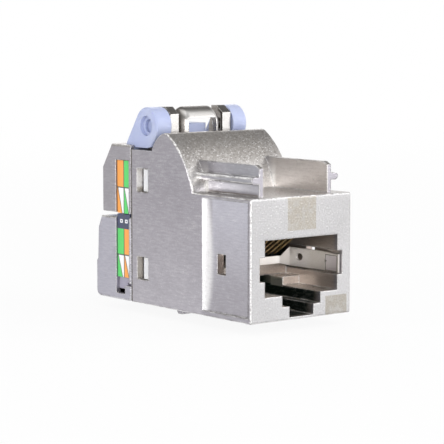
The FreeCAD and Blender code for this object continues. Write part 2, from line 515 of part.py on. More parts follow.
# Saddle of steel behind the hump: a middle arch, open to the rear, and two cheeks that carry the pins
def makeHingeYoke():
    body = newBody("hinge_yoke")
    foot = "humpRearY + yokeGap"
    front = "hingeY - archBend"
    bend = "archCorner - yokeThick"
    wall = [("-archHalf", "hingeY - archSide"), ("-archHalf", front + " + archCorner", "archCorner"),
            ("-archHalf + archCorner", front), ("archHalf - archCorner", front, "archCorner"),
            ("archHalf", front + " + archCorner"), ("archHalf", "hingeY - archSide"),
            ("archHalf - yokeThick", "hingeY - archSide"),
            ("archHalf - yokeThick", front + " + archCorner", "-(" + bend + ")"),
            ("archHalf - archCorner", front + " + yokeThick"),
            ("-archHalf + archCorner", front + " + yokeThick", "-(" + bend + ")"),
            ("-archHalf + yokeThick", front + " + archCorner"), ("-archHalf + yokeThick", "hingeY - archSide")]
    pad(body, "Base", "XY", "ledgeTop", "ledgeTop + yokeBase", rectangle(("-yokeHalf", foot),
        ("yokeHalf", "cheekRearY")))
    pad(body, "ArchFoot", "YZ", "-archHalf + archShift", "archHalf - archShift", [
        (foot, "ledgeTop"), (foot, "ledgeTop + archStep"), (front, "ledgeTop + archRise"),
        (front, "ledgeTop + archRise + archShift"), (front + " + yokeThick", "ledgeTop + archRise + archShift"),
        (foot + " + yokeThick", "ledgeTop + archStep + archShift"), (foot + " + yokeThick", "ledgeTop")])
    pad(body, "ArchLegs", "XY", "ledgeTop + archRise", "hingeZ", wall)
    turn(body, "ArchCap", "XY", "hingeZ", "hingeY", "archTurn", wall)
    cut(body, "ArchWindow", "XZ", front + " - past", "hingeY - past",
        rectangle(("-archWindowHalf", "archWindowLow"), ("archWindowHalf", "archWindowTop")))
    face = "cheekFrontY + yokeThick"
    roofFront = "cheekFrontY + cheekSlope"
    strip = pad(body, "CheekStrip", "YZ", "cheekInner", "yokeHalf", [
        (foot, "ledgeTop"), (foot, "ledgeTop + cheekStep"), ("cheekFrontY", "ledgeTop + cheekRise"),
        ("cheekFrontY", "cheekTop"), (roofFront, "cheekRoofZ"), ("hingeY + cheekRoofEnd", "cheekRoofZ"),
        ("hingeY + cheekRoofEnd", "cheekRoofZ - yokeThick"),
        (roofFront + " + cheekShift", "cheekRoofZ - yokeThick"),
        (face, "cheekTop - 2 * cheekShift"), (face, "ledgeTop + cheekRise + cheekShift"),
        (foot + " + yokeThick", "ledgeTop + cheekStep + cheekShift"), (foot + " + yokeThick", "ledgeTop")])
    web = pad(body, "CheekWeb", "YZ", "yokeHalf - cheekWeb", "yokeHalf", [
        (foot + " + cheekShift", "ledgeTop"), ("cheekRearY", "ledgeTop"),
        ("cheekRearY", "hingeZ - webDrop"),
        ("hingeY + webNose", "cheekRoofZ - webBevel"),
        ("hingeY + cheekRoofEnd - cheekShift", "cheekRoofZ - cheekShift"),
        (roofFront + " + cheekShift", "cheekRoofZ - cheekShift"),
        ("cheekFrontY + 2 * cheekShift", "cheekTop - 2 * cheekShift"),
        ("cheekFrontY + 2 * cheekShift", "ledgeTop + cheekRise")])
    mirror(body, "CheekPair", strip, web)
    cut(body, "PinBore", "YZ", "-yokeHalf - past", "yokeHalf + past",
        circle("hingeY", "hingeZ", "pinBend + pinPlay"))


def makePin(label, along, up, bend, start, stop):
    body = newBody(label, "0", along, up)
    pad(body, "Rod", "YZ", start, stop, circle("0", "0", bend))


# Upper jaw: a die-cast cap with a window in each side for the colour plates
def makeUpperJaw():
    body = newBody("upper_jaw")
    pad(body, "Cap", "YZ", "-halfWidth", "halfWidth", [
        ("seamY + seamGap", "upperLow"), ("upperRearY", "upperLow"), ("upperRearY", "upperBreakZ"),
        ("upperBreakY", "upperTop"), ("seamY + seamGap", "upperTop")])
    side, front, low = value("halfWidth"), value("seamY + seamGap"), value("upperLow")
    soften(body, "CapBevel", "jawBevel", lambda edge: (flatAt(edge, "x", side) or flatAt(edge, "x", -side))
           and not flatAt(edge, "y", front) and not flatAt(edge, "z", low))
    cut(body, "Hollow", "YZ", "-halfWidth + jawWall", "halfWidth - jawWall", [
        ("seamY", "upperLow - past"), ("upperRearY - jawWall", "upperLow - past"),
        ("upperRearY - jawWall", "upperBreakZ - jawWall / 2"),
        ("upperBreakY - jawWall / 2", "upperTop - jawWall"),
        ("seamY", "upperTop - jawWall")])
    cut(body, "Windows", "YZ", "-halfWidth - past", "halfWidth + past",
        rectangle(("windowFrontY", "upperLow - past"), ("windowRearY", "windowTop")))
    earRear = "hingeY + earBend * cos(earLean) + earSlope * sin(earLean)"
    cut(body, "EarOpenings", "XY", "upperTop - jawWall - sink", "upperTop + past",
        rectangle(("-earOuter - holderPlay", "seamY"),
            ("-earInner + holderPlay", earRear + " + holderPlay")),
        rectangle(("earInner - holderPlay", "seamY"), ("earOuter + holderPlay", earRear + " + holderPlay")),
        rectangle(("-noseHalf - holderPlay", "seamY"), ("noseHalf + holderPlay", "noseRearY + holderPlay")))
    cut(body, "CableNotch", "XZ", "upperRearY - notchDepth", "upperRearY + past",
        circle("0", "cableZ", "cableBend"))


# Room for cable, wires and blades in a wire holder, and a hole for each wire
def hollowHolder(body, roomLow, roomHigh, bladeLow, bladeHigh, rows, rearY):
    cut(body, "WireRoom", "XZ", "holderFrontY - sink", "roomRearY",
        rectangle(("-roomHalf", roomLow), ("roomHalf", roomHigh)))
    cut(body, "CableWay", "XZ", "roomRearY - sink", rearY, circle("0", "cableZ", "cableBend"))
    room = cut(body, "BladeRoom", "XZ", "holderFrontY - sink", "bladeRoomRearY", rectangle(
        ("bladeX - bladeRoomHalf", bladeLow), ("bladeX + bladeRoomHalf", bladeHigh)))
    mirror(body, "BladeRooms", room)
    cut(body, "WireWays", "YZ", "-bladeX - bladeRoomHalf - wireWay", "bladeX + bladeRoomHalf + wireWay",
        *[circle("wireY", row, "wireHole") for row in rows])


# Upper wire holder: moulded block with two hinge ears and a middle nose
def makeUpperWireHolder():
    body = newBody("upper_wire_holder")
    roof = "upperTop - jawWall - holderPlay"
    rear = "upperRearY - jawWall - holderPlay"
    pad(body, "Block", "YZ", "-halfWidth + jawWall + holderPlay", "halfWidth - jawWall - holderPlay", [
        ("holderFrontY", "partHigh"), (rear, "partHigh"), (rear, "upperBreakZ - jawWall / 2 - holderPlay"),
        ("upperBreakY - jawWall / 2 - holderPlay", roof), ("holderFrontY", roof)])
    pad(body, "Boss", "YZ", "-bossOut", "bossOut", rectangle(
        ("windowFrontY + platePlay", "partHigh"), ("windowRearY - platePlay", "windowTop - platePlay")))
    hollowHolder(body, "partHigh - past", "roomTop", "partHigh - past", "bladeRoomTop",
                 ("rowOne", "rowTwo"), rear + " + past")
    leanY = "hingeY + earBend * cos(earLean)"
    leanZ = "hingeZ + earBend * sin(earLean)"
    slopeY = leanY + " + earSlope * sin(earLean)"
    slopeZ = leanZ + " - earSlope * cos(earLean)"
    foot = pad(body, "EarFoot", "YZ", "earInner", "earOuter", [
        (leanY, leanZ), ("hingeY - earBend * cos(earFootLean)", "hingeZ - earBend * sin(earFootLean)"),
        ("earFootY", "hingeZ - sqrt(earFootBend ^ 2 - (hingeY - earFootY) ^ 2)", "earFootBend"),
        ("hingeY", "hingeZ - earFootBend"), ("holderFrontY", "hingeZ - earFootBend"),
        ("holderFrontY", roof + " - sink"), (slopeY, roof + " - sink"), (slopeY, slopeZ)])
    disc = pad(body, "EarDisc", "YZ", "earInner", "earOuter", circle("hingeY", "hingeZ", "earBend"))
    mirror(body, "EarPair", foot, disc)
    outer = value("earOuter")
    soften(body, "EarBevel", "earBevel", lambda edge: (flatAt(edge, "x", outer) or flatAt(edge, "x", -outer))
           and edge.Curve.TypeId == "Part::GeomCircle" and edge.BoundBox.ZMax > value("hingeZ"), "Chamfer")
    sink = cut(body, "EarSink", "YZ", "earOuter - earSinkDepth", "earOuter + past",
               circle("hingeY", "hingeZ", "earSinkBend"))
    eye = cut(body, "EarEye", "YZ", "earOuter - earEyeDepth", "earOuter + past",
              circle("hingeY", "hingeZ", "earEyeBend"))
    mirror(body, "EarSinks", sink, eye)
    cut(body, "PinBore", "YZ", "-pinHalf - pinPlay", "pinHalf + pinPlay",
        circle("hingeY", "hingeZ", "pinBend + pinPlay"))
    pad(body, "Nose", "YZ", "-noseHalf", "noseHalf", [
        ("noseFrontY", "noseTipLow"), ("holderFrontY", "noseLow"), ("holderFrontY", roof + " - sink"),
        ("noseRearY", roof + " - sink"), ("noseRearY", "noseTop"), ("noseFrontY", "noseTop")])


# Lower jaw: a cap with knuckles at its foot and a stepped window in each side
def makeLowerJaw():
    body = newBody("lower_jaw")
    front = "seamY + seamGap"
    lip = "lowerRearY - lowerStepBack"
    pad(body, "Cap", "YZ", "-halfWidth", "halfWidth", [
        (front + " + knuckle", "0"), ("lowerRearY - lowerRound", "0", "lowerRound"),
        ("lowerRearY", "lowerRound"),
        ("lowerRearY", "lowerStepZ"), (lip, "lowerStepZ + lowerStepRise"),
        (lip + " - lowerLean", "lowerBreakZ"),
        ("lowerRimY", "lowerRimZ"), (front, "lowerTop"), (front, "knuckle", "knuckle")])
    side, seam, curl = value("halfWidth"), value(front), value(front + " + knuckle")
    soften(body, "CapEdge", "lowerBevel", lambda edge: (flatAt(edge, "x", side) or flatAt(edge, "x", -side))
           and edge.BoundBox.YMax > curl + slack, "Chamfer")
    cut(body, "Hollow", "YZ", "-halfWidth + jawWall", "halfWidth - jawWall", [
        ("seamY", "jawWall"), ("lowerRearY - jawWall", "jawWall"), ("lowerRearY - jawWall", "lowerStepZ"),
        (lip + " - jawWall", "lowerStepZ + lowerStepRise"),
        (lip + " - lowerLean - jawWall", "lowerBreakZ - lowerBreakInset"),
        ("lowerRimY - jawWall", "lowerTop"), ("lowerRimY - jawWall", "lowerTop + past"),
        ("seamY", "lowerTop + past")])
    notchRear = front + " + 2 * knuckle + lugSide"
    cut(body, "LugNotches", "XY", "-past", "2 * knuckle + lugSide",
        rectangle(("-lugInner - lugWidth - lugSide", "seamY"), ("-lugInner + lugSide", notchRear)),
        rectangle(("lugInner - lugSide", "seamY"), ("lugInner + lugWidth + lugSide", notchRear)))
    outer = pad(body, "OuterKnuckle", "YZ", "lugInner + lugWidth + lugSide", "halfWidth - jawWall / 2",
                circle(front + " + knuckle", "knuckle", "knuckle"))
    mirror(body, "OuterKnuckles", outer)
    pad(body, "MiddleKnuckle", "YZ", "-lugInner + lugSide", "lugInner - lugSide",
        circle(front + " + knuckle", "knuckle", "knuckle"))
    cut(body, "PinBore", "YZ", "-lowPinHalf - pinPlay", "lowPinHalf + pinPlay",
        circle(front + " + knuckle", "knuckle", "lowPinBend + pinPlay"))
    cut(body, "Windows", "YZ", "-halfWidth - past", "halfWidth + past", [
        ("windowFrontY", "lowerTop + past"), ("windowFrontY", "windowStepZ"),
        ("windowStepY", "windowStepZ"),
        ("windowStepY", "windowLow"), ("windowRearY", "windowLow"), ("windowRearY", "lowerTop + past")])
    notch = cut(body, "StripNotch", "YZ", "halfWidth - jawWall / 2", "halfWidth + past",
                rectangle(("seamY", "windowStepZ"), ("windowFrontY + lugSink", "bossStepZ")))
    mirror(body, "StripNotches", notch)
    cut(body, "CableNotch", "XZ", "lowerRearY - notchDepth", "lowerRearY + past",
        circle("0", "cableZ", "cableBend"))


def makeLowerWireHolder():
    body = newBody("lower_wire_holder")
    rear = "lowerRearY - jawWall - holderPlay"
    lip = "lowerRearY - lowerStepBack - jawWall - holderPlay"
    low = "2 * knuckle + holderLift"
    pad(body, "Block", "YZ", "-halfWidth + jawWall + holderPlay", "halfWidth - jawWall - holderPlay", [
        ("holderFrontY", low), (rear, low), (rear, "lowerStepZ - holderPlay"),
        (lip, "lowerStepZ + lowerStepRise"),
        (lip + " - lowerLean", "lowerBreakZ - lowerBreakInset - holderPlay"),
        ("lowerRimY - jawWall - holderPlay", "lowerTop - holderPlay"),
        ("holderFrontY", "lowerTop - holderPlay")])
    pad(body, "Boss", "YZ", "-bossOut", "bossOut", [
        ("windowFrontY + platePlay", "bossStepZ"), ("windowStepY", "bossStepZ"), ("windowStepY", "bossLow"),
        ("windowRearY - platePlay", "bossLow"), ("windowRearY - platePlay", "partLow"),
        ("windowFrontY + platePlay", "partLow")])
    hollowHolder(body, "roomFloor", "partLow + past", "bladeRoomLow", "partLow + past",
                 ("rowThree", "rowFour"), rear + " + past")


# Colour plates: thin cards on the holders' sides, seen through the windows
def makeLabel(label, side, low, high):
    body = newBody(label)
    inner, outer = (side + "bossOut", side + "plateOut") if not side else ("-plateOut", "-bossOut")
    pad(body, "Card", "YZ", inner, outer, rectangle(("windowFrontY + platePlay", low),
        ("plateRearY", high)))


makeJackBody()
makeContactCarrier()
for number in range(1, int(value("contactCount")) + 1):
    makeContact(number)
makeGroundClip()
makeCircuitBoard()
makeTerminalBlock()
number = 0
for row in bladeRows():
    for side in ("-bladeX", "bladeX"):
        number += 1
        makeBlade(number, side, row)
makeHingeYoke()
makePin("hinge_pin_left", "hingeY", "hingeZ", "pinBend", "-pinHalf", "-pinInner")
makePin("hinge_pin_right", "hingeY", "hingeZ", "pinBend", "pinInner", "pinHalf")
makeUpperJaw()
makeUpperWireHolder()
makeLowerJaw()
makeLowerWireHolder()
makePin("lower_hinge_pin", "seamY + seamGap + knuckle", "knuckle", "lowPinBend", "-lowPinHalf", "lowPinHalf")
for name, side in (("left", "-"), ("right", "")):
    makeLabel("upper_label_" + name, side, "partHigh", "windowTop - platePlay")
    makeLabel("lower_label_" + name, side, "lowerPlateLow", "partLow")

doc.recompute()
for feature in doc.Objects:
    if "Invalid" in feature.State or "Error" in feature.State:
        raise RuntimeError("%s failed: %s" % (feature.Label, feature.State))
for feature in cuts:
    if not feature.Shape.Volume < feature.BaseFeature.Shape.Volume - 1e-6:
        raise RuntimeError("%s cuts nothing" % feature.Label)
for body in bodies:
    if body.Shape.isNull() or not body.Shape.isValid():
        raise RuntimeError("%s has no sound shape" % body.Label)

os.makedirs("parts", exist_ok=True)
for body in bodies:
    body.Shape.exportStep("parts/%s.step" % body.Label)
print(len(bodies), "pieces written")
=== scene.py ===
# Ethernet socket with two hinged rear jaws: the looks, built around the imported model
import math

import bpy
import numpy as np
from mathutils import Matrix, Vector


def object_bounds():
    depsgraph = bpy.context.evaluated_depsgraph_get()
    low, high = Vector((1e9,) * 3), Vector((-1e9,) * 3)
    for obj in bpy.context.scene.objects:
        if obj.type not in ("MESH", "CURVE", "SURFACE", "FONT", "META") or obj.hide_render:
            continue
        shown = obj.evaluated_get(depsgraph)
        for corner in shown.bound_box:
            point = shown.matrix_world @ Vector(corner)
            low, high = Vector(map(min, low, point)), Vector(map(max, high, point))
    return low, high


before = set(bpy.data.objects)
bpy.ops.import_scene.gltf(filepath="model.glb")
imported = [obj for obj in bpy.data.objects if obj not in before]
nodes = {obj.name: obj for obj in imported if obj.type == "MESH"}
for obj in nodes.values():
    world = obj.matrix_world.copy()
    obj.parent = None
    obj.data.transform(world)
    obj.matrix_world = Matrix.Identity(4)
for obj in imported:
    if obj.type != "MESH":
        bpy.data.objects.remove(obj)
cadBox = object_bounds()
mm = 0.001
portMiddle = 6.565      # height of the port's middle above the body's underside, in mm
shelf = 15.17           # height of the flat roof under the rails, above the underside too
white = (1.0, 1.0, 1.0)
print("frame loaded:", len(nodes), "nodes")


# Camera: where it stands, from the photograph's vanishing lines. Degrees and mm, but clip in metres
cameraView = {
    "turn": -38.687, "rise": 6.108, "distance": 232.7, "target": (0.0, 14.0, 3.435),
    "right": -1.024, "up": 0.770, "lens": 147.15, "sensor": 36.0, "clip": (0.01, 20.0),
}


def makeCamera(view):
    turn, rise = math.radians(view["turn"]), math.radians(view["rise"])
    right = Vector((math.cos(turn), math.sin(turn), 0.0))
    level = math.cos(rise)
    back = Vector((math.sin(turn) * level, -math.cos(turn) * level, math.sin(rise)))
    up = back.cross(right)
    place = Vector(view["target"]) + back * view["distance"]
    place += right * view["right"] + up * view["up"]
    axes = Matrix((right, up, back)).transposed().to_4x4()
    camera = bpy.data.objects.new("camera", bpy.data.cameras.new("camera"))
    bpy.context.scene.collection.objects.link(camera)
    camera.matrix_world = Matrix.Translation(place * mm) @ axes
    camera.data.lens = view["lens"]
    camera.data.sensor_width = view["sensor"]
    camera.data.clip_start, camera.data.clip_end = view["clip"]
    bpy.context.scene.camera = camera
    bpy.context.scene.view_settings.view_transform = "Standard"


# Lamps: large soft boxes, each aimed at the middle of the socket
lamps = {
    "leftBox": {"from": (-0.41, 0.10, 0.035), "size": (0.10, 0.24), "power": 0.75},
    "frontBox": {"from": (0.30, -0.38, 0.09), "size": (0.44, 0.46), "power": 1.6},
    "portFill": {"from": (-0.20, -0.42, 0.10), "size": (0.22, 0.22), "power": 1.0},
    "highRight": {"from": (0.30, -0.16, 0.36), "size": (0.26, 0.26), "power": 0.16},
    "topBox": {"from": (-0.05, -0.05, 0.48), "size": (0.40, 0.40), "power": 0.45},
    "rearRim": {"from": (0.22, 0.42, 0.22), "size": (0.24, 0.24), "power": 0.3},
}


def makeLamps():
    middle = (cadBox[0] + cadBox[1]) / 2
    for name, lamp in lamps.items():
        light = bpy.data.lights.new(name, "AREA")
        light.shape = "RECTANGLE"
        light.size, light.size_y = lamp["size"]
        light.energy = lamp["power"]
        holder = bpy.data.objects.new(name, light)
        bpy.context.scene.collection.objects.link(holder)
        holder.location = Vector(lamp["from"])
        holder.rotation_euler = (middle - holder.location).to_track_quat("-Z", "Y").to_euler()


# Small helpers for node trees
def addNode(tree, kind, inputs=None, **settings):
    node = tree.nodes.new(kind)
    for key, given in settings.items():
        setattr(node, key, given)
    for key, given in (inputs or {}).items():
        if isinstance(given, bpy.types.NodeSocket):
            tree.links.new(given, node.inputs[key])
        else:
            node.inputs[key].default_value = given
    return node


def useGroup(tree, group, inputs):
    return addNode(tree, "ShaderNodeGroup", inputs, node_tree=group).outputs


def newGroup(name, inputs, outputs):
    group = bpy.data.node_groups.new(name, "ShaderNodeTree")
    for label, kind, given in inputs:
        socket = group.interface.new_socket(label, in_out="INPUT", socket_type="NodeSocket" + kind)
        if given is not None:
            socket.default_value = given
    for label, kind in outputs:
        group.interface.new_socket(label, in_out="OUTPUT", socket_type="NodeSocket" + kind)
    start, end = group.nodes.new("NodeGroupInput"), group.nodes.new("NodeGroupOutput")
    return group, start.outputs, end.inputs


def calc(tree, operation, first, second=0.0, third=0.0, clamp=False):
    inputs = {0: first, 1: second, 2: third}
    return addNode(tree, "ShaderNodeMath", inputs, operation=operation, use_clamp=clamp).outputs[0]


# all the given values multiplied together
def product(tree, first, *others):
    for other in others:
        first = calc(tree, "MULTIPLY", first, other)
    return first


# the greatest of the given values
def greatest(tree, first, *others):
    for other in others:
        first = calc(tree, "MAXIMUM", first, other)
    return first


# given times a share, plus a level
def scaled(tree, given, share, level, clamp=False):
    return calc(tree, "MULTIPLY_ADD", given, share, level, clamp)


def spread(tree, given, low, high, toLow=0.0, toHigh=1.0, way="SMOOTHSTEP"):
    inputs = {"Value": given, "From Min": low, "From Max": high, "To Min": toLow, "To Max": toHigh}
    return addNode(tree, "ShaderNodeMapRange", inputs, interpolation_type=way).outputs[0]


# mask that is 1 from low to high and falls off over a soft edge
def between(tree, given, low, high, soft=0.05):
    rising = spread(tree, given, low - soft, low + soft)
    falling = spread(tree, given, high - soft, high + soft, 1.0, 0.0)
    return calc(tree, "MULTIPLY", rising, falling)


# mask that is 1 within a half width of a middle
def around(tree, given, middle, half, soft):
    return between(tree, given, middle - half, middle + half, soft)


def opaque(colour):
    return colour if isinstance(colour, bpy.types.NodeSocket) else colour + (1.0,)


def mixColour(tree, factor, first, second, blend="MIX"):
    inputs = {0: factor, 6: opaque(first), 7: opaque(second)}
    return addNode(tree, "ShaderNodeMix", inputs, data_type="RGBA", blend_type=blend).outputs[2]


def mixValue(tree, factor, first, second):
    return addNode(tree, "ShaderNodeMix", {0: factor, 2: first, 3: second}).outputs[0]


def noise(tree, where, scale, detail, rough=0.5):
    inputs = {"Vector": where, "Scale": scale, "Detail": detail, "Roughness": rough}
    return addNode(tree, "ShaderNodeTexNoise", inputs).outputs["Fac"]


# 1 for rays from the camera, from gloss and through glass, which all see the plain backdrop
def backdropRays(tree):
    path = addNode(tree, "ShaderNodeLightPath").outputs
    shown = calc(tree, "ADD", path["Is Camera Ray"], path["Is Glossy Ray"])
    return calc(tree, "ADD", shown, path["Is Transmission Ray"], clamp=True)


# World: white at the horizon, dimmer overhead, and a plain fill for the light it casts
surround = {"horizon": 1.0, "ceiling": 0.24, "fill": 0.55, "band": (0.25, 0.75)}


def makeSurround():
    world = bpy.data.worlds.new("studio")
    bpy.context.scene.world = world
    world.use_nodes = True
    tree = world.node_tree
    tree.nodes.clear()
    direction = addNode(tree, "ShaderNodeTexCoord").outputs["Generated"]
    height = addNode(tree, "ShaderNodeSeparateXYZ", {0: direction}).outputs["Z"]
    seen = spread(tree, height, *surround["band"], surround["horizon"], surround["ceiling"])
    strength = mixValue(tree, backdropRays(tree), surround["fill"], seen)
    back = addNode(tree, "ShaderNodeBackground", {"Color": opaque(white), "Strength": strength})
    out = addNode(tree, "ShaderNodeOutputWorld")
    tree.links.new(back.outputs[0], out.inputs[0])


# Floor: its own shade fades out from near to far, so that it meets the backdrop unseen. In metres
floorPlan = {
    "reach": 1.6, "rings": 24, "spokes": 64, "tone": 0.86, "glow": 0.90, "near": 0.06, "far": 0.45,
}


def discMesh(plan, low):
    # disc: radius grows with the square of the first parameter, the second turns it about Z
    ring = np.linspace(0.0, 1.0, plan["rings"] + 1)[1:] ** 2 * plan["reach"]
    turn = np.linspace(0.0, 2 * np.pi, plan["spokes"], endpoint=False)
    r, t = np.meshgrid(ring, turn, indexing="ij")
    points = np.stack([r * np.cos(t), r * np.sin(t), np.full_like(r, low)], axis=-1).reshape(-1, 3)
    points = np.vstack([points, [[0.0, 0.0, low]]])
    n = plan["spokes"]
    i, j = np.meshgrid(np.arange(plan["rings"] - 1), np.arange(n), indexing="ij")
    k = (j + 1) % n
    quads = np.stack([i * n + j, (i + 1) * n + j, (i + 1) * n + k, i * n + k], axis=-1)
    spoke = np.arange(n)
    fan = np.stack([np.full(n, len(points) - 1), spoke, (spoke + 1) % n], axis=-1)
    mesh = bpy.data.meshes.new("floor")
    mesh.from_pydata(points.tolist(), [], quads.reshape(-1, 4).tolist() + fan.tolist())
    return mesh


def makeFloor():
    mesh = discMesh(floorPlan, cadBox[0].z)
    floor = bpy.data.objects.new("floor", mesh)
    bpy.context.scene.collection.objects.link(floor)
    material = bpy.data.materials.new("paleFloor")
    material.use_nodes = True
    tree = material.node_tree
    tree.nodes.clear()
    tone = (floorPlan["tone"],) * 3
    matt = addNode(tree, "ShaderNodeBsdfDiffuse", {"Color": opaque(tone)}).outputs[0]
    glow = addNode(tree, "ShaderNodeEmission", {"Color": opaque(white), "Strength": 1.0}).outputs[0]
    there = addNode(tree, "ShaderNodeTexCoord").outputs["Object"]
    reach = addNode(tree, "ShaderNodeVectorMath", {0: there}, operation="LENGTH").outputs["Value"]
    glowing = spread(tree, reach, floorPlan["near"], floorPlan["far"], floorPlan["glow"], 1.0)
    factor = product(tree, backdropRays(tree), glowing)
    mixed = addNode(tree, "ShaderNodeMixShader", {0: factor, 1: matt, 2: glow}).outputs[0]
    out = addNode(tree, "ShaderNodeOutputMaterial")
    tree.links.new(mixed, out.inputs[0])
    mesh.materials.append(material)


# Grain, shared by every piece. height = fine noise mixed with the same noise drawn out along Y,
# less small round pits. tone = height without its pits, cloud = slow noise, both from -1 to 1.
# speck = small round dots, one to a cell, bright (to 1), faint or dark (to -1) as the cell's own
# colour has it. fine and streak give a noise's detail and roughness, cloud its scale before them
grainPlan = {
    "fine": (3.0, 0.6), "streak": (2.0, 0.5), "drawnOut": (1.0, 0.16, 1.0), "tone": (0.25, 0.75),
    "pitScale": 0.35, "pitEdge": (0.0, 0.16), "cloud": (0.22, 3.0, 0.55), "cloudTone": (0.3, 0.7),
    "speckShift": (31.0, 17.0, 5.0), "speckTone": (0.1, 0.9), "speckEdge": (0.25, 0.55),
}


def makeGrainGroup():
    plan = grainPlan
    group, given, out = newGroup(
        "metalGrain",
        [("Vector", "Vector", None), ("Size", "Float", 0.2), ("Streaks", "Float", 0.5),
         ("Pits", "Float", 0.3)],
        [("Height", "Float"), ("Tone", "Float"), ("Cloud", "Float"), ("Speck", "Float")])
    where = given["Vector"]
    scale = calc(group, "DIVIDE", 1.0, given["Size"])
    drawnInputs, movedInputs = {0: where, 1: plan["drawnOut"]}, {0: where, 1: plan["speckShift"]}
    drawn = addNode(group, "ShaderNodeVectorMath", drawnInputs, operation="MULTIPLY").outputs[0]
    fine = noise(group, where, scale, *plan["fine"])
    streak = noise(group, drawn, scale, *plan["streak"])
    both = mixValue(group, given["Streaks"], fine, streak)
    dotInputs = {"Vector": where, "Scale": product(group, scale, plan["pitScale"])}
    dots = addNode(group, "ShaderNodeTexVoronoi", dotInputs).outputs["Distance"]
    pit = product(group, spread(group, dots, *plan["pitEdge"], 1.0, 0.0), given["Pits"])
    cloud = noise(group, where, *plan["cloud"])
    moved = addNode(group, "ShaderNodeVectorMath", movedInputs, operation="ADD").outputs[0]
    cell = addNode(group, "ShaderNodeTexVoronoi", {"Vector": moved, "Scale": scale}).outputs
    mark = addNode(group, "ShaderNodeSeparateXYZ", {0: cell["Color"]}).outputs["X"]
    mark = spread(group, mark, *plan["speckTone"], -1.0, 1.0, "LINEAR")
    speck = product(group, mark, spread(group, cell["Distance"], *plan["speckEdge"], 1.0, 0.0))
    group.links.new(calc(group, "SUBTRACT", both, pit), out["Height"])
    group.links.new(spread(group, both, *plan["tone"], -1.0, 1.0, "LINEAR"), out["Tone"])
    group.links.new(spread(group, cloud, *plan["cloudTone"], -1.0, 1.0, "LINEAR"), out["Cloud"])
    group.links.new(speck, out["Speck"])
    return group


# Edges: metals get a painted highlight along them and a painted shade beside them. core = how far
# the rounded normal leans away from the true one, times a gain; edge = where the core is strong,
# fringe = the faint belt beside it
edgePlan = {"samples": 6, "edge": (0.25, 0.8), "fringe": (0.01, 0.12)}


def makeEdgeGroup():
    group, given, out = newGroup("edgeLean", [("Width", "Float", 0.0001), ("Gain", "Float", 6.0)],
                                 [("Edge", "Float"), ("Fringe", "Float"), ("Normal", "Vector")])
    radius, samples = {"Radius": given["Width"]}, edgePlan["samples"]
    rounded = addNode(group, "ShaderNodeBevel", radius, samples=samples).outputs[0]
    true = addNode(group, "ShaderNodeNewGeometry").outputs["Normal"]
    along = addNode(group, "ShaderNodeVectorMath", {0: rounded, 1: true}, operation="DOT_PRODUCT")
    lean = calc(group, "SUBTRACT", 1.0, along.outputs["Value"], clamp=True)
    core = calc(group, "MULTIPLY", lean, given["Gain"], clamp=True)
    belt = calc(group, "SUBTRACT", spread(group, core, *edgePlan["fringe"]), core, clamp=True)
    group.links.new(spread(group, core, *edgePlan["edge"]), out["Edge"])
    group.links.new(belt, out["Fringe"])
    group.links.new(rounded, out["Normal"])
    return group


grainGroup = makeGrainGroup()
edgeGroup = makeEdgeGroup()
print("shared effects made")


# Parts that every material has
def newMaterial(name):
    material = bpy.data.materials.new(name)
    material.use_nodes = True
    tree = material.node_tree
    tree.nodes.clear()
    shader = addNode(tree, "ShaderNodeBsdfPrincipled")
    out = addNode(tree, "ShaderNodeOutputMaterial")
    tree.links.new(shader.outputs[0], out.inputs[0])
    return material, tree, shader


def linkSurface(tree, shader, colour, rough, bump):
    tree.links.new(colour, shader.inputs["Base Color"])
    tree.links.new(rough, shader.inputs["Roughness"])
    tree.links.new(bump, shader.inputs["Normal"])


# depth is in mm
def bumped(tree, height, depth, extra=None):
    inputs = {"Strength": 1.0, "Distance": depth * mm, "Height": height, **(extra or {})}
    return addNode(tree, "ShaderNodeBump", inputs).outputs[0]


# Where a point lies, in mm: across (X), back (Y), level (Z), up (from the underside), and side (X
# without its sign); and which way its surface faces: sideways, endways, rearward and upward
def measure(tree):
    given = addNode(tree, "ShaderNodeTexCoord").outputs
    scale = {0: given["Object"], "Scale": 1 / mm}
    where = addNode(tree, "ShaderNodeVectorMath", scale, operation="SCALE").outputs[0]
    axes = addNode(tree, "ShaderNodeSeparateXYZ", {0: where}).outputs
    facing = addNode(tree, "ShaderNodeSeparateXYZ", {0: given["Normal"]}).outputs
    return {
        "where": where, "across": axes["X"], "back": axes["Y"], "level": axes["Z"],
        "up": calc(tree, "ADD", axes["Z"], portMiddle), "side": calc(tree, "ABSOLUTE", axes["X"]),
        "sideways": calc(tree, "ABSOLUTE", facing["X"]), "rearward": facing["Y"],
        "endways": calc(tree, "ABSOLUTE", facing["Y"]), "upward": facing["Z"],
    }


# A place's mask = all of these multiplied: its bands (1 from one length to the next, with a soft
# edge), its ramps (from a length to the next, and the levels there if not 0 to 1), the greatest of
# its parts, its bow, the noise that breaks it up, and its share
def placeMask(tree, measures, place):
    masks = [between(tree, measures[key], *span) for key, *span in place.get("bands", ())]
    masks += [spread(tree, measures[key], *span) for key, *span in place.get("ramps", ())]
    if "parts" in place:
        masks.append(greatest(tree, *(placeMask(tree, measures, part) for part in place["parts"])))
    if "bow" in place:      # a limit whose length grows with the square of the height off a middle
        bow = place["bow"]
        rise = scaled(tree, measures["up"], 1 / bow["half"], -bow["middle"] / bow["half"])
        bent = scaled(tree, calc(tree, "POWER", rise, 2.0), -bow["depth"], measures["back"])
        masks.append(spread(tree, bent, *bow["ramp"]))
    if "broken" in place:
        broken = place["broken"]
        cloud = noise(tree, measures["where"], broken["scale"], broken["detail"])
        masks.append(spread(tree, cloud, *broken["ramp"]))
    if "share" in place:
        masks.append(place["share"])
    return product(tree, *masks) if masks else 1.0


